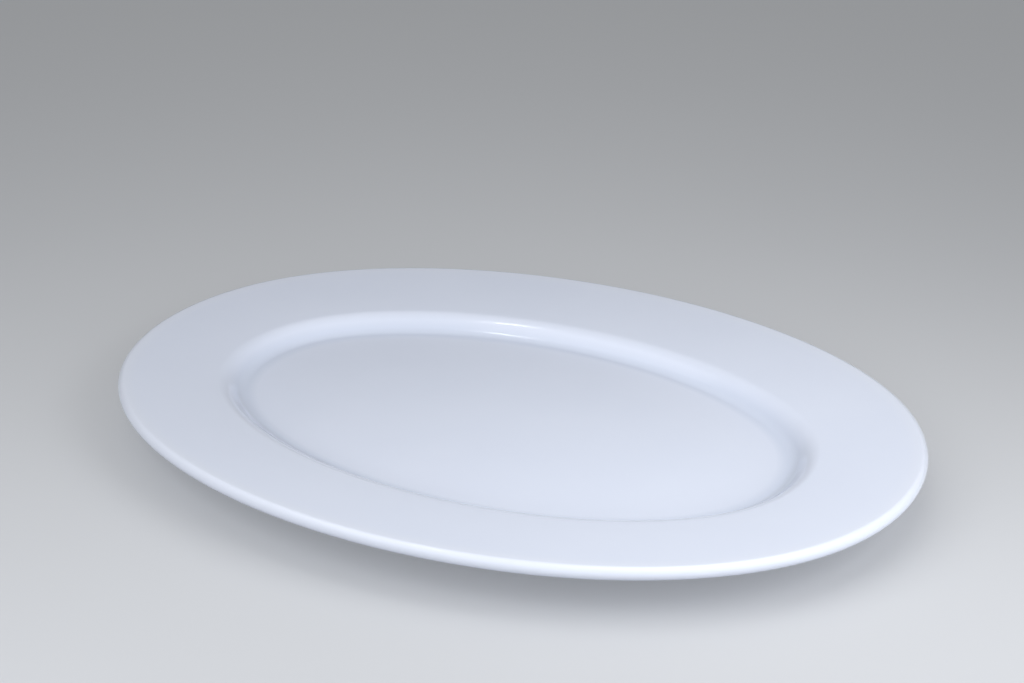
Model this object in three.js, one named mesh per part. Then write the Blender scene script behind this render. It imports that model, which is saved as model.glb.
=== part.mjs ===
// An oval serving platter in glazed porcelain, in millimetres, +Z up.
// The fired body is one piece with its foot ring. Two glaze coats lie on it, parted by the dry foot ring.
// One cross-section runs all the way round, at a constant distance from the lip, so the rim keeps its width.
// The origin is on the table, under the middle of the well. The long side of the platter lies along X.
import * as THREE from "three";

// Outline, measured over the lip.
const LENGTH = 360;
const WIDTH = 260;
// How far the outline stands out beyond an ellipse, between its ends and its sides.
const OUTLINE_FULLNESS = 2;

// Rim, from the outermost edge of the lip to the top of the wall, measured level.
const RIM_WIDTH = 45.9;
// The lip is rounded over this whole thickness.
const RIM_THICKNESS = 5.4;
// Top of the lip above the floor of the well.
const LIP_HEIGHT = 12.7;
// Soft bends where the rim turns down into the wall, on the face and underneath.
const RIM_BEND_RADIUS = 10;
const UNDER_BEND_RADIUS = 10;

// Wall between the rim and the floor of the well.
const WALL_RUN = 7;
const WALL_RISE = 7;
const WALL_THICKNESS = 5.4;
const WELL_CORNER_RADIUS = 7;

// Base, and the foot ring that the platter stands on.
const BASE_THICKNESS = 6;
// Clear height of the base over the table, inside the foot ring.
const BASE_RECESS = 4;
const FOOT_WIDTH = 6;
// The outer edge of the foot ring stands this far outside the edge of the well.
const FOOT_OUTSIDE_WELL = 3;
// Lean of the foot ring's faces, which lets the piece leave its mould.
const FOOT_DRAFT = THREE.MathUtils.degToRad(8);
const FOOT_FILLET_RADIUS = 2.5;
const FOOT_EDGE_RADIUS = 0.8;
const BASE_CORNER_RADIUS = 2;

// Glaze, which stops above the table so that the foot ring stays dry.
const GLAZE_THICKNESS = 0.3;
const DRY_FOOT_HEIGHT = 1.5;

// Fineness of the facets.
const SEGMENTS_ROUND = 64;
const LIP_STEPS = 8;
const BEND_STEPS = 3;

// Cross-section points are (out, up): out from the lip's outermost line, and up from the table.
const at = (out, up) => new THREE.Vector2(out, up);
const heading = (angle) => at(Math.cos(angle), Math.sin(angle));
const leftOf = (direction) => at(-direction.y, direction.x);

// A straight line of the cross-section, and the point where two of them meet.
const line = (point, direction) => ({ point, direction });

function meet(first, second) {
  const gap = second.point.clone().sub(first.point);
  const reach = gap.cross(second.direction) / first.direction.cross(second.direction);
  return first.point.clone().addScaledVector(first.direction, reach);
}

// A station is a point of the surface with its outward normal. The air is on the left of the way travelled.
const station = (point, direction) => ({ point, normal: leftOf(direction) });

function arcStations(centre, radius, firstDirection, turn, steps) {
  const side = Math.sign(turn);
  const stations = [];
  for (let step = 0; step <= steps; step += 1) {
    const direction = firstDirection.clone().rotateAround(at(0, 0), (turn * step) / steps);
    const point = centre.clone().addScaledVector(leftOf(direction), -side * radius);
    stations.push(station(point, direction));
  }
  return stations;
}

// Rounds the corner between two straight stretches. A bend takes up half of the shorter stretch at most.
function bend(before, corner, after, radius, steps = BEND_STEPS) {
  const arriving = corner.clone().sub(before);
  const leaving = after.clone().sub(corner);
  const shorter = Math.min(arriving.length(), leaving.length());
  arriving.normalize();
  leaving.normalize();
  const turn = Math.atan2(arriving.cross(leaving), arriving.dot(leaving));
  const tangent = Math.tan(Math.abs(turn) / 2);
  const fitted = Math.min(radius, shorter / 2 / tangent);
  const start = corner.clone().addScaledVector(arriving, -fitted * tangent);
  const centre = start.addScaledVector(leftOf(arriving), Math.sign(turn) * fitted);
  return arcStations(centre, fitted, arriving, turn, steps);
}

// Places and lines of the cross-section, worked out from the sizes above.
const FLOOR_HEIGHT = BASE_RECESS + BASE_THICKNESS;
const LIP_RADIUS = RIM_THICKNESS / 2;
const lipCentre = at(-LIP_RADIUS, FLOOR_HEIGHT + LIP_HEIGHT - LIP_RADIUS);
const wallTop = at(-RIM_WIDTH, FLOOR_HEIGHT + WALL_RISE);
const wellEdge = at(-RIM_WIDTH - WALL_RUN, FLOOR_HEIGHT);
const footEdge = at(wellEdge.x + FOOT_OUTSIDE_WELL, 0);

const lipSight = lipCentre.clone().sub(wallTop);
const rimDirection = heading(lipSight.angle() + Math.asin(LIP_RADIUS / lipSight.length()));
const wallDirection = wallTop.clone().sub(wellEdge).normalize();
const lipTop = lipCentre.clone().addScaledVector(leftOf(rimDirection), LIP_RADIUS);
const lipBottom = lipCentre.clone().addScaledVector(leftOf(rimDirection), -LIP_RADIUS);

const table = line(at(0, 0), heading(0));
const underBase = line(at(0, BASE_RECESS), heading(0));
const underRim = line(lipBottom, rimDirection);
const underWall = line(wallTop.clone().addScaledVector(leftOf(wallDirection), -WALL_THICKNESS), wallDirection);
const dryLevel = line(at(0, DRY_FOOT_HEIGHT), heading(0));

// The faces of the foot ring, both headed the way that the surface is travelled: down outside and up inside.
const footOuter = line(footEdge, heading(-Math.PI / 2 - FOOT_DRAFT));
const footInner = line(at(footEdge.x - FOOT_WIDTH, 0), heading(Math.PI / 2 + FOOT_DRAFT));

const underBend = meet(underRim, underWall);
const footTop = meet(underWall, footOuter);
const baseCorner = meet(underBase, footInner);
const outerDryEdge = meet(footOuter, dryLevel);
const innerDryEdge = meet(footInner, dryLevel);
const wellMiddle = at(-Math.min(LENGTH, WIDTH) / 2, FLOOR_HEIGHT);
const baseMiddle = at(-Math.min(LENGTH, WIDTH) / 2, BASE_RECESS);

// Glazed surface from the floor of the well over the lip and down the outside of the foot ring.
const topSurface = [
  ...bend(wellMiddle, wellEdge, wallTop, WELL_CORNER_RADIUS),
  ...bend(wellEdge, wallTop, lipTop, RIM_BEND_RADIUS),
  ...arcStations(lipCentre, LIP_RADIUS, rimDirection, -Math.PI, LIP_STEPS),
  ...bend(lipBottom, underBend, footTop, UNDER_BEND_RADIUS),
  ...bend(underBend, footTop, outerDryEdge, FOOT_FILLET_RADIUS),
  station(outerDryEdge, footOuter.direction),
];

// Glazed surface from the inside of the foot ring over the recessed base.
const baseSurface = [
  station(innerDryEdge, footInner.direction),
  ...bend(innerDryEdge, baseCorner, baseMiddle, BASE_CORNER_RADIUS),
];

// The body lies one thickness of glaze below those surfaces.
const pointsOf = (stations) => stations.map((spot) => spot.point);
const sunk = (spot) => spot.point.clone().addScaledVector(spot.normal, -GLAZE_THICKNESS);
const topUnderGlaze = topSurface.map(sunk);
const baseUnderGlaze = baseSurface.map(sunk);

// Bare lower part of the foot ring, with its flat bearing face on the table.
function dryFootPoints() {
  const outerEdge = topUnderGlaze.at(-1);
  const innerEdge = baseUnderGlaze[0];
  const outerFoot = meet(line(outerEdge, footOuter.direction), table);
  const innerFoot = meet(line(innerEdge, footInner.direction), table);
  return pointsOf([
    ...bend(outerEdge, outerFoot, innerFoot, FOOT_EDGE_RADIUS),
    ...bend(outerFoot, innerFoot, innerEdge, FOOT_EDGE_RADIUS),
  ]);
}

// The spot of the outline that faces the given angle, moved out from the lip's outermost line.
function outlineSpot(angle, out) {
  const half = at(LENGTH / 2, WIDTH / 2);
  const facing = heading(angle);
  const ellipse = Math.hypot(half.x * facing.x, half.y * facing.y);
  const reach = ellipse + OUTLINE_FULLNESS * Math.sin(2 * angle) ** 2 + out;
  const slantOfEllipse = ((half.y ** 2 - half.x ** 2) * facing.x * facing.y) / ellipse;
  const slide = slantOfEllipse + 2 * OUTLINE_FULLNESS * Math.sin(4 * angle);
  return facing.clone().multiplyScalar(reach).addScaledVector(leftOf(facing), slide);
}

// Carries a cross-section round the outline. It starts and ends in the middle of the platter, at two heights.
// Each diagonal starts on the inner of its two rings, so that surfaces in contact have the same facets.
function ovalSolid(firstHeight, section, lastHeight) {
  const positions = [0, 0, firstHeight];
  for (const point of section) {
    for (let k = 0; k < SEGMENTS_ROUND; k += 1) {
      const spot = outlineSpot((2 * Math.PI * k) / SEGMENTS_ROUND, point.x);
      positions.push(spot.x, spot.y, point.y);
    }
  }
  positions.push(0, 0, lastHeight);

  const corner = (ring, k) => 1 + ring * SEGMENTS_ROUND + (k % SEGMENTS_ROUND);
  const lastRing = section.length - 1;
  const lastMiddle = 1 + section.length * SEGMENTS_ROUND;
  const faces = [];
  for (let k = 0; k < SEGMENTS_ROUND; k += 1) {
    faces.push(0, corner(0, k), corner(0, k + 1));
    for (let ring = 0; ring < lastRing; ring += 1) {
      const [a, b] = [corner(ring, k), corner(ring, k + 1)];
      const [d, c] = [corner(ring + 1, k), corner(ring + 1, k + 1)];
      if (section[ring + 1].x > section[ring].x) faces.push(a, d, c, a, c, b);
      else faces.push(a, d, b, d, c, b);
    }
    faces.push(lastMiddle, corner(lastRing, k + 1), corner(lastRing, k));
  }
  const geometry = new THREE.BufferGeometry();
  geometry.setAttribute("position", new THREE.Float32BufferAttribute(positions, 3));
  geometry.setIndex(faces);
  geometry.computeVertexNormals();
  return geometry;
}

// Matt, slightly warm fired clay.
function biscuitMaterial() {
  return new THREE.MeshStandardMaterial({ color: 0xefece5, roughness: 0.8, metalness: 0 });
}

// Glossy, slightly cool white glaze.
function glazeMaterial() {
  return new THREE.MeshStandardMaterial({ color: 0xe4e9f3, roughness: 0.12, metalness: 0 });
}

function namedMesh(name, geometry, material) {
  const mesh = new THREE.Mesh(geometry, material);
  mesh.name = name;
  return mesh;
}

function porcelainBody() {
  const section = [...topUnderGlaze, ...dryFootPoints(), ...baseUnderGlaze];
  const geometry = ovalSolid(topUnderGlaze[0].y, section, baseUnderGlaze.at(-1).y);
  return namedMesh("porcelain_body", geometry, biscuitMaterial());
}

function glazeTopCoat() {
  const section = [...pointsOf(topSurface), ...topUnderGlaze.toReversed()];
  const geometry = ovalSolid(FLOOR_HEIGHT, section, topUnderGlaze[0].y);
  return namedMesh("glaze_top_coat", geometry, glazeMaterial());
}

function glazeBaseCoat() {
  const section = [...baseUnderGlaze.toReversed(), ...pointsOf(baseSurface)];
  const geometry = ovalSolid(baseUnderGlaze.at(-1).y, section, BASE_RECESS);
  return namedMesh("glaze_base_coat", geometry, glazeMaterial());
}

const platter = new THREE.Group();
platter.name = "oval_serving_platter";
platter.add(porcelainBody(), glazeTopCoat(), glazeBaseCoat());

export default platter;
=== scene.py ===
# %% [markdown]
# # An oval serving platter in white porcelain
#
# The platter is pressed from clay in one piece, fired, dipped in glaze and fired again.
# Two coats of glaze cover that body, and only the ring that it stands on stays bare.
# This lesson draws one cross-section, carries it round an oval, and gives the result two finishes:
# a cool, glossy glaze and a warm, matt clay.
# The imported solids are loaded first, because every piece here has to lie where they lie.

# %% Load the solids
import cmath
import math
from collections import namedtuple

import bpy
import numpy as np
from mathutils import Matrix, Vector, noise


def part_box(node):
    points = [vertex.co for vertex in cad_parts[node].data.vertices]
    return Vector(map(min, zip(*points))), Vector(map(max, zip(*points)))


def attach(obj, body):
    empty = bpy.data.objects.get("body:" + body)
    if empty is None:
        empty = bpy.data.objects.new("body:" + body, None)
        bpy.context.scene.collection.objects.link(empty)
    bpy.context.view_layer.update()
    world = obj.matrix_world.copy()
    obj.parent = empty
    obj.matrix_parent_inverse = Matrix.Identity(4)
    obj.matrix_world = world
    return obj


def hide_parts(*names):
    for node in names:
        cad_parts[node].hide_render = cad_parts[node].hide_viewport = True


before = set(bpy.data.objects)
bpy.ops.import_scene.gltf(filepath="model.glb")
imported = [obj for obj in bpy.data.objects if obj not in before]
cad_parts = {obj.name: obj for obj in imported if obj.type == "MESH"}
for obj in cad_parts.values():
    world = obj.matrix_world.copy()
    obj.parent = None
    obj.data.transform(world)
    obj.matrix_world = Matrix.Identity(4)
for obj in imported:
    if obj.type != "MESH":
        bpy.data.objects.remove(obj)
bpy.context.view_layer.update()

MM = 0.001
for node in sorted(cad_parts):
    low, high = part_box(node)
    print(node, "measures", [round(side / MM, 1) for side in high - low], "mm")

# %% [markdown]
# ## The camera
#
# The platter is seen from in front, a little from its right, and from well above the table.
# The numbers below were found by fitting the lip and the two edges of the wall to the photograph.
# The camera stands about two platter lengths away, so the near side looks only a little larger than the
# far side. It looks a little past the middle of the platter, which therefore lies low in the frame.

# %% Camera
EYE_BEARING = math.radians(27.369)
EYE_ELEVATION = math.radians(27.190)
EYE_DISTANCE = 773.0 * MM
LOOK_TURN = math.radians(27.188)
LOOK_DOWN = math.radians(24.708)
WELL_FLOOR = 10.0 * MM
# Blender takes the lens and the sensor in millimetres.
LENS = 62.72
SENSOR_WIDTH = 36.0

camera_data = bpy.data.cameras.new("camera")
camera_data.sensor_width = SENSOR_WIDTH
camera_data.lens = LENS
camera = bpy.data.objects.new("camera", camera_data)
ground_distance = EYE_DISTANCE * math.cos(EYE_ELEVATION)
camera.location = (
    ground_distance * math.sin(EYE_BEARING),
    -ground_distance * math.cos(EYE_BEARING),
    EYE_DISTANCE * math.sin(EYE_ELEVATION) + WELL_FLOOR,
)
camera.rotation_euler = (math.pi / 2 - LOOK_DOWN, 0.0, LOOK_TURN)
bpy.context.scene.collection.objects.link(camera)
bpy.context.scene.camera = camera
bpy.context.scene.view_settings.view_transform = "Standard"
print("camera at", [round(part, 3) for part in camera.location], "m")

# %% [markdown]
# ## Sizes of the cross-section
#
# A potter would cut a template for this shape: floor, wall, rim, lip, and the foot ring underneath.
# These sizes are that template's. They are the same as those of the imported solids, but in metres.
# The bends get finer steps here than in the solids, because a glossy surface shows every facet.

# %% Sizes
LENGTH = 360 * MM
WIDTH = 260 * MM
FULLNESS = 2.0 * MM
RIM_WIDTH = 45.9 * MM
RIM_THICKNESS = 5.4 * MM
LIP_HEIGHT = 12.7 * MM
RIM_BEND = 10 * MM
UNDER_BEND = 10 * MM
WALL_RUN = 7 * MM
WALL_RISE = 7 * MM
WALL_THICKNESS = 5.4 * MM
WELL_CORNER = 7 * MM
BASE_RECESS = 4 * MM
FOOT_WIDTH = 6 * MM
FOOT_OUTSIDE_WELL = 3 * MM
FOOT_DRAFT = math.radians(8)
FOOT_FILLET = 2.5 * MM
FOOT_EDGE = 0.8 * MM
BASE_CORNER = 2 * MM
GLAZE_THICKNESS = 0.3 * MM
DRY_FOOT_HEIGHT = 1.5 * MM
print("lip", LIP_HEIGHT / MM, "mm above the well, rim", RIM_WIDTH / MM, "mm wide")

# %% [markdown]
# ## Points of the cross-section
#
# A complex number is a handy point on paper. Its real part is the distance out from the lip's outermost
# line, and its imaginary part the height over the table. Multiplying by 1j turns a direction to the left.
# A station is such a point with the direction that the surface faces there. Its pool value says how glaze
# gathers while it melts: it runs into hollow corners, and it draws thin over a rounded edge.

# %% Stations, arcs and bends
Station = namedtuple("Station", "spot normal pool")


def arc(centre, radius, heading, turn, steps, pool):
    """Stations on an arc. It starts in the direction of heading and turns left where turn is positive."""
    side = math.copysign(1.0, turn)
    headings = [heading * cmath.rect(1.0, turn * step / steps) for step in range(steps + 1)]
    return [Station(centre - 1j * way * side * radius, 1j * way, pool) for way in headings]


def bend(before, corner, after, radius, steps, pool=0.0):
    """Stations that round the corner between two straight runs."""
    arriving = (corner - before) / abs(corner - before)
    leaving = (after - corner) / abs(after - corner)
    turn = cmath.phase(leaving / arriving)
    start = corner - arriving * radius * math.tan(abs(turn) / 2)
    centre = start + 1j * arriving * math.copysign(radius, turn)
    return arc(centre, radius, arriving, turn, steps, pool)


def meet(point, heading, other_point, other_heading):
    """The point where two straight lines cross."""
    gap = other_point - point
    reach = (gap.conjugate() * other_heading).imag / (heading.conjugate() * other_heading).imag
    return point + heading * reach


# %% [markdown]
# ## Corners of the cross-section
#
# The corners come before the bends that round them. The rim's slope isn't a size of its own:
# it follows from the top of the wall and the height of the lip, as it does in the solids.

# %% Corners
lip_radius = RIM_THICKNESS / 2
lip_centre = complex(-lip_radius, WELL_FLOOR + LIP_HEIGHT - lip_radius)
wall_top = complex(-RIM_WIDTH, WELL_FLOOR + WALL_RISE)
well_edge = complex(-RIM_WIDTH - WALL_RUN, WELL_FLOOR)
foot_edge = complex(well_edge.real + FOOT_OUTSIDE_WELL, 0.0)
foot_inner = foot_edge - FOOT_WIDTH

sight = lip_centre - wall_top
rim_heading = cmath.rect(1.0, cmath.phase(sight) + math.asin(lip_radius / abs(sight)))
wall_heading = (wall_top - well_edge) / abs(wall_top - well_edge)
foot_down = cmath.rect(1.0, -math.pi / 2 - FOOT_DRAFT)
foot_up = cmath.rect(1.0, math.pi / 2 + FOOT_DRAFT)

lip_top = lip_centre + 1j * rim_heading * lip_radius
lip_bottom = lip_centre - 1j * rim_heading * lip_radius
under_wall = wall_top - 1j * wall_heading * WALL_THICKNESS
under_bend = meet(lip_bottom, rim_heading, under_wall, wall_heading)
foot_top = meet(under_wall, wall_heading, foot_edge, foot_down)
base_corner = meet(foot_inner, foot_up, 1j * BASE_RECESS, 1.0)
outer_dry_edge = meet(foot_edge, foot_down, 1j * DRY_FOOT_HEIGHT, 1.0)
inner_dry_edge = meet(foot_inner, foot_up, 1j * DRY_FOOT_HEIGHT, 1.0)
well_middle = complex(-WIDTH / 2, WELL_FLOOR)
base_middle = complex(-WIDTH / 2, BASE_RECESS)
for name, heading in (("rim", rim_heading), ("wall", wall_heading)):
    print(name, "rises", round(math.degrees(cmath.phase(heading)), 1), "degrees")

# %% [markdown]
# ## The two glazed surfaces
#
# One surface runs from the floor of the well, over the lip and down to the dry part of the foot ring.
# The other covers the recessed base inside that ring. Both are listed here from the middle outwards.
# The bends alone are enough for what lies hidden under the glaze.

# %% Bends of the glazed surfaces
WELL_CORNER_STEPS = 14
RIM_BEND_STEPS = 14
LIP_STEPS = 28
UNDER_BEND_STEPS = 12
FOOT_FILLET_STEPS = 10
BASE_CORNER_STEPS = 10
top_bends = [
    *bend(well_middle, well_edge, wall_top, WELL_CORNER, WELL_CORNER_STEPS, pool=1.0),
    *bend(well_edge, wall_top, lip_top, RIM_BEND, RIM_BEND_STEPS),
    *arc(lip_centre, lip_radius, rim_heading, -math.pi, LIP_STEPS, pool=-1.0),
    *bend(lip_bottom, under_bend, foot_top, UNDER_BEND, UNDER_BEND_STEPS),
    *bend(under_bend, foot_top, outer_dry_edge, FOOT_FILLET, FOOT_FILLET_STEPS, pool=1.0),
    Station(outer_dry_edge, 1j * foot_down, 0.0),
]
base_bends = [
    *reversed(bend(inner_dry_edge, base_corner, base_middle, BASE_CORNER, BASE_CORNER_STEPS, pool=1.0)),
    Station(inner_dry_edge, 1j * foot_up, 0.0),
]
print(len(top_bends), "stations on the top surface and", len(base_bends), "on the base")

# %% [markdown]
# The outside of the glaze needs stations along the straight runs too, because it will be made slightly
# uneven, and one long flat face can't follow that. The pool values are spread along the surface, as melted
# glaze spreads.

# %% Straight runs
LONGEST_STEP = 2.2 * MM
POOL_SPREAD = 3.0 * MM


def fill_runs(stations):
    """Adds stations along the straight runs, and spreads the pool values."""
    filled = stations[:1]
    for last, following in zip(stations, stations[1:]):
        gap = following.spot - last.spot
        steps = max(1, math.ceil(abs(gap) / LONGEST_STEP))
        between = [last.spot + gap * step / steps for step in range(1, steps)]
        filled += [Station(spot, following.normal, 0.0) for spot in between] + [following]
    spots = np.array([station.spot for station in filled])
    pools = np.array([station.pool for station in filled])
    weights = np.exp(-((np.abs(spots[:, None] - spots[None, :]) / POOL_SPREAD) ** 2))
    spread = weights @ pools / weights.sum(axis=1)
    return [station._replace(pool=float(pool)) for station, pool in zip(filled, spread)]


top_surface = fill_runs(top_bends)
base_surface = fill_runs(base_bends)
print(len(top_surface), "stations on the top surface and", len(base_surface), "on the base, runs filled")

# %% [markdown]
# ## The oval
#
# The rim keeps its width all the way round, so every edge of the platter runs parallel to the lip.
# An ellipse has no parallel that is an ellipse too. The outline is therefore given by how far it reaches
# in each direction that it faces, and a parallel curve just reaches further.
# A small second term makes it a little fuller than an ellipse between its ends and its sides.

# %% Outline
SEGMENTS_ROUND = 288
facing = np.linspace(0.0, 2 * math.pi, SEGMENTS_ROUND, endpoint=False)


def outline(out):
    """One point for each direction in facing, on the curve that lies this far outside the lip."""
    c, s = np.cos(facing), np.sin(facing)
    half_length, half_width = LENGTH / 2, WIDTH / 2
    ellipse = np.hypot(half_length * c, half_width * s)
    reach = ellipse + FULLNESS * np.sin(2 * facing) ** 2 + out
    slide = (half_width**2 - half_length**2) * c * s / ellipse + 2 * FULLNESS * np.sin(4 * facing)
    return np.stack([reach * c - slide * s, reach * s + slide * c], axis=-1)


print("outline measures", np.round(np.ptp(outline(0.0), axis=0) / MM, 2), "mm")

# %% [markdown]
# ## From cross-section to mesh
#
# Blender's Screw modifier turns a profile round an axis, but only into circles.
# So the rings are placed in code, one for each station, and joined by quads.
# Towards the middle of a floor the rings shrink in proportion, and the last one closes with triangles.
# The floor of the well isn't quite flat. It sinks a little while it is fired, and most of that happens
# near its edge.

# %% Rings
FLOOR_RINGS = 26
WELL_SAG = 0.4 * MM
SAG_POWER = 8


def ring(spot):
    """The vertices of one ring, round the platter."""
    return np.column_stack([outline(spot.real), np.full(SEGMENTS_ROUND, spot.imag)])


def floor_rings(edge, sag):
    """Rings from the middle of a floor to just inside its edge. The middle lies lower by the sag."""
    shares = [step / FLOOR_RINGS for step in range(1, FLOOR_RINGS)]
    return [edge * (share, share, 1.0) - (0.0, 0.0, sag * (1 - share**SAG_POWER)) for share in shares]


print("floor of the well sinks", WELL_SAG / MM, "mm")

# %% [markdown]
# A shell joins a list of rings into one closed mesh. Each vertex keeps its pool value as an attribute,
# which the glaze's material will read. A shell that is listed from underneath has its faces turned round.

# %% Shells


def shell(name, rings, pools, from_below=False):
    """A closed mesh from rings, the first and last of which close round a middle point."""
    points = np.vstack([*rings, rings[0].mean(axis=0), rings[-1].mean(axis=0)])
    here = np.arange(SEGMENTS_ROUND)
    following = (here + 1) % SEGMENTS_ROUND
    faces = []
    for start in range(0, (len(rings) - 1) * SEGMENTS_ROUND, SEGMENTS_ROUND):
        end = start + SEGMENTS_ROUND
        faces += np.column_stack([start + here, end + here, end + following, start + following]).tolist()
    last = (len(rings) - 1) * SEGMENTS_ROUND
    faces += [[len(points) - 2, a, b] for a, b in zip(here, following)]
    faces += [[len(points) - 1, last + b, last + a] for a, b in zip(here, following)]
    mesh = bpy.data.meshes.new(name)
    mesh.from_pydata(points.tolist(), [], faces)
    if from_below:
        mesh.flip_normals()
    mesh.shade_smooth()
    attribute = mesh.attributes.new("glaze_pool", "FLOAT", "POINT")
    attribute.data.foreach_set("value", np.append(np.repeat(pools, SEGMENTS_ROUND), [0.0, 0.0]))
    piece = bpy.data.objects.new(name, mesh)
    bpy.context.scene.collection.objects.link(piece)
    print(name, "has", len(points), "vertices and", len(faces), "faces")
    return piece


# %% [markdown]
# ## The fired body
#
# The body lies one thickness of glaze below the glazed surfaces. Nearly all of it is hidden.
# The part that shows is the dry foot ring, which is wiped clean of glaze before firing,
# because glaze that touches the kiln shelf would melt fast to it. Its edges are rounded by that wiping.

# %% Porcelain body
FOOT_EDGE_STEPS = 8


def sunk(station):
    """The place on the body under a station of the glaze."""
    return station.spot - station.normal * GLAZE_THICKNESS


def dry_foot():
    """The bare lower part of the foot ring, with its flat bearing face on the table."""
    outer, inner = sunk(top_bends[-1]), sunk(base_bends[-1])
    outer_foot = meet(outer, foot_down, 0j, 1.0)
    inner_foot = meet(inner, foot_up, 0j, 1.0)
    rounded = bend(outer, outer_foot, inner_foot, FOOT_EDGE, FOOT_EDGE_STEPS)
    rounded += bend(outer_foot, inner_foot, inner, FOOT_EDGE, FOOT_EDGE_STEPS)
    return [station.spot for station in rounded]


body_top = [ring(sunk(station)) for station in top_bends]
body_base = [ring(sunk(station)) for station in base_bends]
body_top = floor_rings(body_top[0], WELL_SAG) + body_top
body_base = floor_rings(body_base[0], 0.0) + body_base
body_rings = body_top + [ring(spot) for spot in dry_foot()] + body_base[::-1]
porcelain_body = shell("fired_body", body_rings, np.zeros(len(body_rings)))

# %% [markdown]
# ## The coats of glaze
#
# Glaze is liquid glass while it is in the kiln, so it never comes out quite flat.
# Smooth noise moves the outer surface in and out by a few hundredths of a millimetre.
# No eye sees that height, but each reflection bends on it, and that is how fired glaze differs from
# plastic.

# %% Uneven glaze
UNEVEN_HEIGHT = 0.045 * MM
UNEVEN_LENGTH = 70 * MM
WAVY_HEIGHT = 0.010 * MM
WAVY_LENGTH = 21 * MM


def melted(rings, normals):
    """The rings of a surface, moved along their normals by smooth noise."""
    moved = []
    for points, normal in zip(rings, normals):
        broad = [noise.noise(Vector(point) / UNEVEN_LENGTH) for point in points]
        fine = [noise.noise(Vector(point) / WAVY_LENGTH) for point in points]
        height = UNEVEN_HEIGHT * np.array(broad) + WAVY_HEIGHT * np.array(fine)
        sideways = np.column_stack([np.cos(facing), np.sin(facing)]) * normal.real
        direction = np.column_stack([sideways, np.full(SEGMENTS_ROUND, normal.imag)])
        moved.append(points + direction * height[:, None])
    return moved


print("glaze moves", round((UNEVEN_HEIGHT + WAVY_HEIGHT) / MM, 3), "mm at most")

# %% [markdown]
# Each coat is a closed shell: the melted surface outside, a rounded edge, and the body's surface inside.
# The edge is where the coat stops at the dry foot, and surface tension rounds it there.

# %% Top coat and base coat
EDGE_STEPS = 6


def glaze_edge(station, heading):
    """Rings of the rounded edge of a coat, from its surface down to the body."""
    angles = [math.pi / 2 * step / EDGE_STEPS for step in range(1, EDGE_STEPS)]
    ways = [station.normal * math.cos(angle) + heading * math.sin(angle) for angle in angles]
    return [ring(sunk(station) + GLAZE_THICKNESS * way) for way in ways]


def coat(name, surface, bends, edge_heading, sag, from_below):
    """A coat of glaze over a surface that is listed from the middle outwards."""
    outside = [ring(station.spot) for station in surface]
    floor = floor_rings(outside[0], sag)
    normals = [surface[0].normal] * len(floor) + [station.normal for station in surface]
    inside = [ring(sunk(station)) for station in bends]
    inside = floor_rings(inside[0], sag) + inside
    hidden = glaze_edge(surface[-1], edge_heading) + inside[::-1]
    pools = [0.0] * len(floor) + [station.pool for station in surface] + [0.0] * len(hidden)
    return shell(name, melted(floor + outside, normals) + hidden, pools, from_below)


top_coat = coat("top_glaze", top_surface, top_bends, foot_down, WELL_SAG, from_below=False)
base_coat = coat("base_glaze", base_surface, base_bends, -foot_up, 0.0, from_below=True)

# %% [markdown]
# ## Shared effects
#
# Clay and glaze have three effects in common: soft clouds in the tone, a fine skin that bumps the surface,
# and a few tiny specks of iron, which no porcelain is quite free of. Each is a node group with its own
# inputs, built once and placed in each material with other values. The groups put out masks and
# heights only.

# %% Node group helpers


def new_group(name, output, **inputs):
    """A shader node group with these inputs and a Place. Returns its tree, input node and output node."""
    tree = bpy.data.node_groups.new(name, "ShaderNodeTree")
    tree.interface.new_socket("Place", in_out="INPUT", socket_type="NodeSocketVector")
    for label, value in inputs.items():
        socket = tree.interface.new_socket(label, in_out="INPUT", socket_type="NodeSocketFloat")
        socket.default_value = value
    tree.interface.new_socket(output, in_out="OUTPUT", socket_type="NodeSocketFloat")
    return tree, tree.nodes.new("NodeGroupInput"), tree.nodes.new("NodeGroupOutput")


def put(tree, kind, links=(), **settings):
    """Adds a node with these properties. Each link pairs an input with a value or another node's output."""
    node = tree.nodes.new(kind)
    for name, value in settings.items():
        setattr(node, name, value)
    for socket, source in links:
        if isinstance(source, bpy.types.NodeSocket):
            tree.links.new(source, node.inputs[socket])
        else:
            node.inputs[socket].default_value = source
    return node


def place_over(tree, given, label):
    """The group's Place, divided by the input under this label."""
    share = put(tree, "ShaderNodeMath", [(0, 1.0), (1, given.outputs[label])], operation="DIVIDE")
    links = [(0, given.outputs["Place"]), ("Scale", share.outputs[0])]
    return put(tree, "ShaderNodeVectorMath", links, operation="SCALE").outputs[0]


# %% Soft clouds
# Noise stays near its middle, so what lies between these two values is stretched over the whole range.
CLOUD_LOW = 0.32
CLOUD_HIGH = 0.68
clouds, given, result = new_group("soft_clouds", "Cloud", Size=0.05)
links = [("Vector", place_over(clouds, given, "Size")), ("Scale", 1.0), ("Detail", 3.0)]
billow = put(clouds, "ShaderNodeTexNoise", links).outputs[0]
links = [("Value", billow), ("From Min", CLOUD_LOW), ("From Max", CLOUD_HIGH)]
spread = put(clouds, "ShaderNodeMapRange", links)
clouds.links.new(spread.outputs[0], result.inputs["Cloud"])
print("soft_clouds has", len(clouds.nodes), "nodes")

# %% Fine skin
skin, given, result = new_group("fine_skin", "Height", Size=0.001, Detail=2.0)
links = [("Vector", place_over(skin, given, "Size")), ("Scale", 1.0), ("Detail", given.outputs["Detail"])]
pebble = put(skin, "ShaderNodeTexNoise", links).outputs[0]
skin.links.new(pebble, result.inputs["Height"])
print("fine_skin has", len(skin.nodes), "nodes")

# %% [markdown]
# Specks come from cells of random shape. Each cell has one centre and one random colour. A speck shows
# round the centre where that colour's red is below the share asked for, so most cells stay empty.

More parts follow.
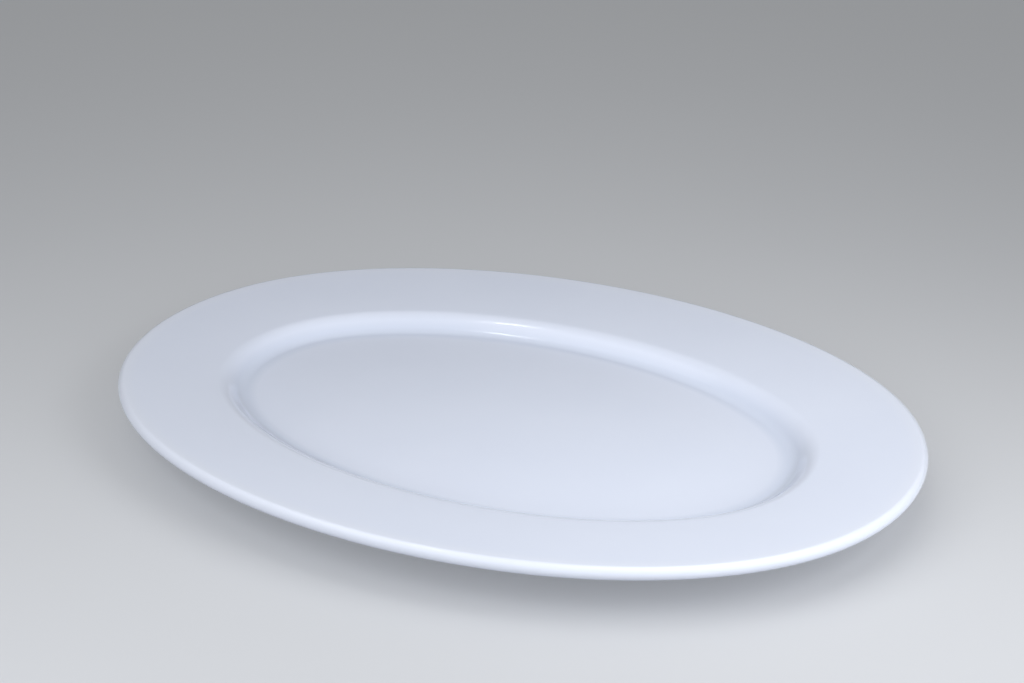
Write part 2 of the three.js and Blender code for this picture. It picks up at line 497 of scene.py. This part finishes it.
# %% Tiny specks
specks, given, result = new_group("tiny_specks", "Speck", Spacing=0.01, Radius=0.0002, Share=0.2)
links = [("Vector", place_over(specks, given, "Spacing")), ("Scale", 1.0)]
cells = put(specks, "ShaderNodeTexVoronoi", links)
links = [(0, cells.outputs["Distance"]), (1, given.outputs["Spacing"])]
away = put(specks, "ShaderNodeMath", links, operation="MULTIPLY").outputs[0]
links = [("Value", away), ("From Min", given.outputs["Radius"]), ("From Max", 0.0)]
inside = put(specks, "ShaderNodeMapRange", links).outputs[0]
chance = put(specks, "ShaderNodeSeparateColor", [("Color", cells.outputs["Color"])]).outputs[0]
links = [(0, chance), (1, given.outputs["Share"])]
chosen = put(specks, "ShaderNodeMath", links, operation="LESS_THAN").outputs[0]
shown = put(specks, "ShaderNodeMath", [(0, inside), (1, chosen)], operation="MULTIPLY").outputs[0]
specks.links.new(shown, result.inputs["Speck"])
print("tiny_specks has", len(specks.nodes), "nodes")

# %% [markdown]
# ## Placing the groups in a material
#
# The pieces sit at the origin, so their object coordinates are metres on the platter itself, and a pattern
# runs on across both coats. A new material starts with a Principled shader and those coordinates.

# %% Material helpers


def new_material(name):
    """A material with nodes. Returns it, its tree, its shader and its object coordinates."""
    material = bpy.data.materials.new(name)
    material.use_nodes = True
    tree = material.node_tree
    place = put(tree, "ShaderNodeTexCoord").outputs["Object"]
    return material, tree, tree.nodes["Principled BSDF"], place


def effect(tree, group, **values):
    """Places a node group, with a value or an output for each named input."""
    return put(tree, "ShaderNodeGroup", values.items(), node_tree=group).outputs[0]


def blend(tree, mask, first, second):
    """A colour that goes from the first to the second as the mask goes from 0 to 1."""
    return put(tree, "ShaderNodeMix", [(0, mask), (6, first), (7, second)], data_type="RGBA").outputs[2]


def range_of(tree, value, lowest, highest, low=0.0, high=1.0):
    """A value from low to high, as the given one goes from lowest to highest."""
    links = [("Value", value), ("From Min", lowest), ("From Max", highest)]
    links += [("To Min", low), ("To Max", high)]
    return put(tree, "ShaderNodeMapRange", links).outputs[0]


# %% [markdown]
# ## Biscuit: the bare clay
#
# Unglazed porcelain is called biscuit. It is matt and a little warmer than the glaze, with a grain like
# fine sandpaper. The bearing face is rubbed grey by tables, so a mask takes the lowest part of the ring.

# %% Biscuit clay
CLAY_PALE = (0.80, 0.775, 0.72, 1.0)
CLAY_DEEP = (0.73, 0.70, 0.64, 1.0)
CLAY_RUBBED = (0.62, 0.60, 0.56, 1.0)
CLAY_IRON = (0.30, 0.24, 0.19, 1.0)
CLAY_ROUGHNESS = 0.82
RUBBED_ROUGHNESS = 0.58
RUBBED_TOP = 0.30 * MM
RUBBED_FULLY = 0.02 * MM
biscuit, tree, shader, place = new_material("biscuit_clay")
cloud = effect(tree, clouds, Place=place, Size=9 * MM)
grain = effect(tree, skin, Place=place, Size=0.35 * MM, Detail=4.0)
iron = effect(tree, specks, Place=place, Spacing=4 * MM, Radius=0.25 * MM, Share=0.3)
height = put(tree, "ShaderNodeSeparateXYZ", [(0, place)]).outputs["Z"]
low_down = range_of(tree, height, RUBBED_TOP, RUBBED_FULLY)
rubbed = put(tree, "ShaderNodeMath", [(0, low_down), (1, grain)], operation="MULTIPLY").outputs[0]
tone = blend(tree, cloud, CLAY_PALE, CLAY_DEEP)
tone = blend(tree, rubbed, tone, CLAY_RUBBED)
tone = blend(tree, iron, tone, CLAY_IRON)
tree.links.new(tone, shader.inputs["Base Color"])
roughness = range_of(tree, rubbed, 0.0, 1.0, CLAY_ROUGHNESS, RUBBED_ROUGHNESS)
tree.links.new(roughness, shader.inputs["Roughness"])
bump = put(tree, "ShaderNodeBump", [("Height", grain), ("Strength", 0.35), ("Distance", 0.06 * MM)])
tree.links.new(bump.outputs[0], shader.inputs["Normal"])
print("biscuit_clay has", len(tree.nodes), "nodes")

# %% [markdown]
# ## White glaze
#
# The glaze is clear glass over white clay, and its white is cool. Where it pools it is a little deeper in
# colour, and over the lip the clay shows through it. Its gloss isn't the same all over either:
# soft clouds in the roughness break up the reflections, and a very fine skin softens them.

# %% Glaze
GLAZE_PALE = (0.710, 0.762, 0.888, 1.0)
GLAZE_DEEP = (0.697, 0.750, 0.878, 1.0)
GLAZE_POOLED = (0.634, 0.694, 0.828, 1.0)
GLAZE_THIN = (0.722, 0.770, 0.884, 1.0)
GLAZE_IRON = (0.45, 0.42, 0.40, 1.0)
LEAST_ROUGHNESS = 0.075
MOST_ROUGHNESS = 0.115
glaze, tree, shader, place = new_material("white_glaze")
cloud = effect(tree, clouds, Place=place, Size=45 * MM)
iron = effect(tree, specks, Place=place, Spacing=23 * MM, Radius=0.22 * MM, Share=0.25)
peel = effect(tree, skin, Place=place, Size=1.6 * MM, Detail=1.0)
pool = put(tree, "ShaderNodeAttribute", attribute_name="glaze_pool").outputs["Fac"]
tone = blend(tree, cloud, GLAZE_PALE, GLAZE_DEEP)
tone = blend(tree, range_of(tree, pool, 0.0, 1.0), tone, GLAZE_POOLED)
tone = blend(tree, range_of(tree, pool, 0.0, -1.0), tone, GLAZE_THIN)
tone = blend(tree, iron, tone, GLAZE_IRON)
tree.links.new(tone, shader.inputs["Base Color"])
roughness = range_of(tree, cloud, 0.0, 1.0, LEAST_ROUGHNESS, MOST_ROUGHNESS)
tree.links.new(roughness, shader.inputs["Roughness"])
bump = put(tree, "ShaderNodeBump", [("Height", peel), ("Strength", 0.12), ("Distance", 0.01 * MM)])
tree.links.new(bump.outputs[0], shader.inputs["Normal"])
shader.inputs["IOR"].default_value = 1.5
print("white_glaze has", len(tree.nodes), "nodes")

# %% [markdown]
# ## Dressing the platter
#
# Each new piece stands for one solid, rides on the platter's only body, and takes its material.

# %% Finishes and frame
for piece, node, slot, material in (
    (porcelain_body, "porcelain_body", "biscuit_porcelain", biscuit),
    (top_coat, "glaze_top_coat", "white_glaze", glaze),
    (base_coat, "glaze_base_coat", "white_glaze", glaze),
):
    piece.data.materials.append(material)
    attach(piece, "root")
    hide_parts(node)
    print(piece.name, "stands for", node)

# %% [markdown]
# ## Floor
#
# A plain pale floor carries the shadow. It is a shade darker than the platter, so that the white rim stands
# out. The lamps stand close to the platter and would leave the far end of the floor dark. Part of the
# floor's tone is therefore its own glow. Only the camera and mirrored rays see that glow, so the glaze
# reflects it, but it casts no light of its own. From below the floor is clear, so that the foot ring can be
# looked at. It lies a trace below the ring, because two faces at the same height would flicker.

# %% Floor


def seen_rays(tree):
    """1 on rays from the camera, from mirrors and through glass, and 0 on the rays that carry light."""
    ray = put(tree, "ShaderNodeLightPath").outputs
    mirrored = put(tree, "ShaderNodeMath", [(0, ray["Is Glossy Ray"]), (1, ray["Is Transmission Ray"])])
    links = [(0, ray["Is Camera Ray"]), (1, mirrored.outputs[0])]
    return put(tree, "ShaderNodeMath", links, use_clamp=True).outputs[0]


FLOOR_HALF = 4.0
FLOOR_DROP = 0.1 * MM
FLOOR_GLOW = 0.20
FLOOR_GLOW_TINT = (0.94, 0.97, 1.0, 1.0)
FLOOR_PALE = (0.430, 0.442, 0.470, 1.0)
FLOOR_DEEP = (0.415, 0.427, 0.455, 1.0)
FLOOR_ROUGHNESS = 0.7
floor_mesh = bpy.data.meshes.new("floor")
corner_signs = ((-1, -1), (1, -1), (1, 1), (-1, 1))
floor_corners = [(x * FLOOR_HALF, y * FLOOR_HALF, -FLOOR_DROP) for x, y in corner_signs]
floor_mesh.from_pydata(floor_corners, [], [(0, 1, 2, 3)])
floor = bpy.data.objects.new("floor", floor_mesh)
bpy.context.scene.collection.objects.link(floor)
floor_paint, tree, shader, place = new_material("pale_floor")
cloud = effect(tree, clouds, Place=place, Size=0.4)
tone = blend(tree, cloud, FLOOR_PALE, FLOOR_DEEP)
tree.links.new(tone, shader.inputs["Base Color"])
shader.inputs["Roughness"].default_value = FLOOR_ROUGHNESS
shader.inputs["Emission Color"].default_value = FLOOR_GLOW_TINT
glow = range_of(tree, seen_rays(tree), 0.0, 1.0, 0.0, FLOOR_GLOW)
tree.links.new(glow, shader.inputs["Emission Strength"])
from_below = put(tree, "ShaderNodeNewGeometry").outputs["Backfacing"]
clear = put(tree, "ShaderNodeBsdfTransparent").outputs[0]
one_sided = put(tree, "ShaderNodeMixShader", [(0, from_below), (1, shader.outputs[0]), (2, clear)])
tree.links.new(one_sided.outputs[0], tree.nodes["Material Output"].inputs["Surface"])
floor_mesh.materials.append(floor_paint)
print("floor is", 2 * FLOOR_HALF, "m wide")

# %% [markdown]
# ## Light
#
# Glossy china is lit with soft boxes, because a bare bulb would show in the glaze as a hard spot.
# Two large ones stand in front, one on each side, and a low one between them lights the near lip.
# All three brighten the far wall of the well. From behind, mirror images of such lamps would cover much of
# the platter, so these three are kept out of the glaze, as by a polarising filter.
# A smaller one hangs over the near rim, so the light falls off towards the far rim, as in the photograph.
# Two high ones fill the left and the far side, and a narrow one makes the short glint on the far wall.
# The places are given as the camera sees them: how far to the right, how far back, and how high.

# %% Lamps
LAMP_AIM = Vector((0.0, 0.0, 0.02))


def seen_from_camera(right, back, up):
    """A place in metres from the platter's middle, given in the camera's directions."""
    c, s = math.cos(EYE_BEARING), math.sin(EYE_BEARING)
    return Vector((right * c - back * s, right * s + back * c, up))


def soft_lamp(name, place, size, watts, mirrored=True):
    """A rectangular lamp that faces the middle of the platter. It may show as an image in the glaze."""
    data = bpy.data.lights.new(name, "AREA")
    data.shape = "RECTANGLE"
    data.size, data.size_y = size
    data.energy = watts
    lamp = bpy.data.objects.new(name, data)
    lamp.location = place
    lamp.visible_glossy = mirrored
    lamp.rotation_euler = (LAMP_AIM - place).to_track_quat("-Z", "Y").to_euler()
    bpy.context.scene.collection.objects.link(lamp)
    print(name, "gives", watts, "W")


soft_lamp("right_lamp", seen_from_camera(0.35, -0.30, 0.25), (0.36, 0.36), 1.43, mirrored=False)
soft_lamp("left_lamp", seen_from_camera(-0.30, -0.30, 0.30), (0.36, 0.36), 1.19, mirrored=False)
soft_lamp("front_lamp", seen_from_camera(0.05, -0.50, 0.10), (0.30, 0.12), 0.25, mirrored=False)
soft_lamp("near_lamp", seen_from_camera(0.10, -0.10, 0.25), (0.20, 0.20), 0.24)
soft_lamp("top_lamp", seen_from_camera(-0.30, 0.00, 0.60), (0.30, 0.30), 0.28)
soft_lamp("back_lamp", seen_from_camera(0.00, 0.30, 0.60), (0.30, 0.30), 0.14)
soft_lamp("small_lamp", seen_from_camera(-0.16, 0.02, 0.50), (0.08, 0.02), 0.05)

# %% [markdown]
# ## Room light
#
# White walls would send a little light back from all sides, which keeps the shadows open.
# An even grey world does the same. Where it is seen itself, it is a little paler, like the far end of
# the floor.

# %% World
ROOM_LIGHT = 0.18
ROOM_SEEN = 0.28
world = bpy.data.worlds.new("room")
world.use_nodes = True
tree = world.node_tree
background = tree.nodes["Background"]
background.inputs["Color"].default_value = (1.0, 1.0, 1.0, 1.0)
strength = range_of(tree, seen_rays(tree), 0.0, 1.0, ROOM_LIGHT, ROOM_SEEN)
tree.links.new(strength, background.inputs["Strength"])
bpy.context.scene.world = world
print("room light has strength", ROOM_LIGHT)
